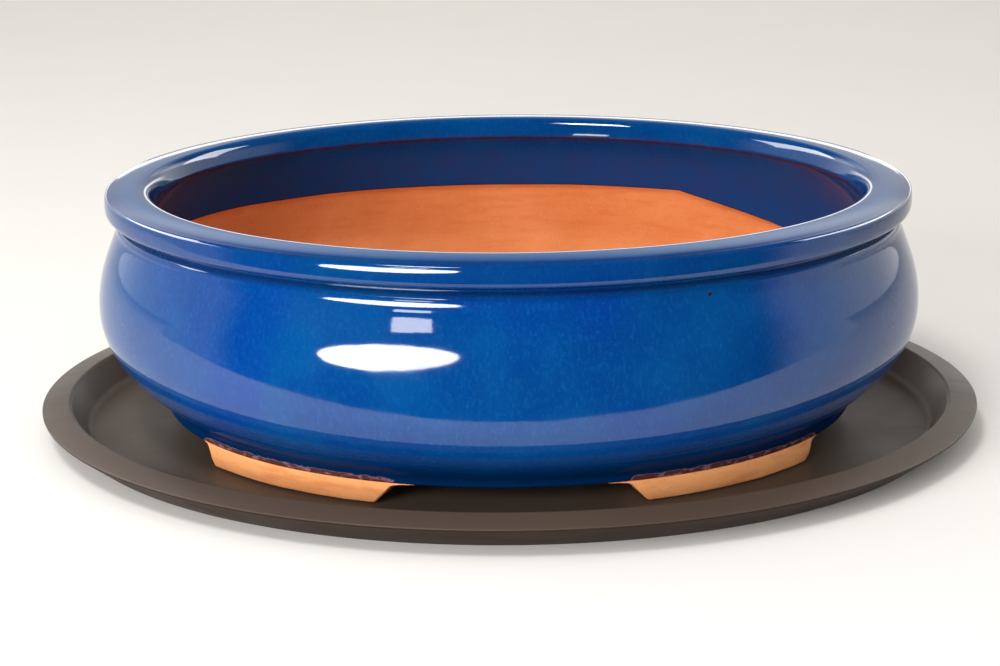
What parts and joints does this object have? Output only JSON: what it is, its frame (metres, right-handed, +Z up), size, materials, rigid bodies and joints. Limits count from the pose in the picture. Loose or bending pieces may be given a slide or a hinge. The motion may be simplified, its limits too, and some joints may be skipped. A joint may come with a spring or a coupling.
{
  "type": "bonsai pot",
  "caption": "Oval glazed bonsai pot with a rolled rim, bare clay feet and screened drain holes, standing in a matching shallow drip tray that it lifts out of.",
  "frame": {"origin": "on the ground under the middle of the tray's underside", "axes": "+X along the pot's long axis, +Y towards its back, +Z up"},
  "size_m": [0.294, 0.225, 0.0781],
  "materials": {
    "cobalt_glaze": "glossy cobalt glaze over terracotta, bare clay inside below the glaze line",
    "bare_terracotta": "matte unglazed clay",
    "brown_plastic": "satin moulded",
    "black_mesh": "matte moulded mesh",
    "aluminium_wire": "brown anodised, satin"
  },
  "bodies": {
    "tray": {"drip_tray": "brown_plastic"},
    "pot": {"pot_body": "cobalt_glaze", "foot_front_left": "bare_terracotta", "foot_front_right": "bare_terracotta", "foot_back_left": "bare_terracotta", "foot_back_right": "bare_terracotta", "drain_screen_left": "black_mesh", "drain_screen_right": "black_mesh", "screen_clip_left": "aluminium_wire", "screen_clip_right": "aluminium_wire"}
  },
  "joints": [
    {"name": "pot_lift", "type": "slide", "parent": "tray", "child": "pot", "axis": [0, 0, 1], "range_m": [0, 0.12]}
  ]
}
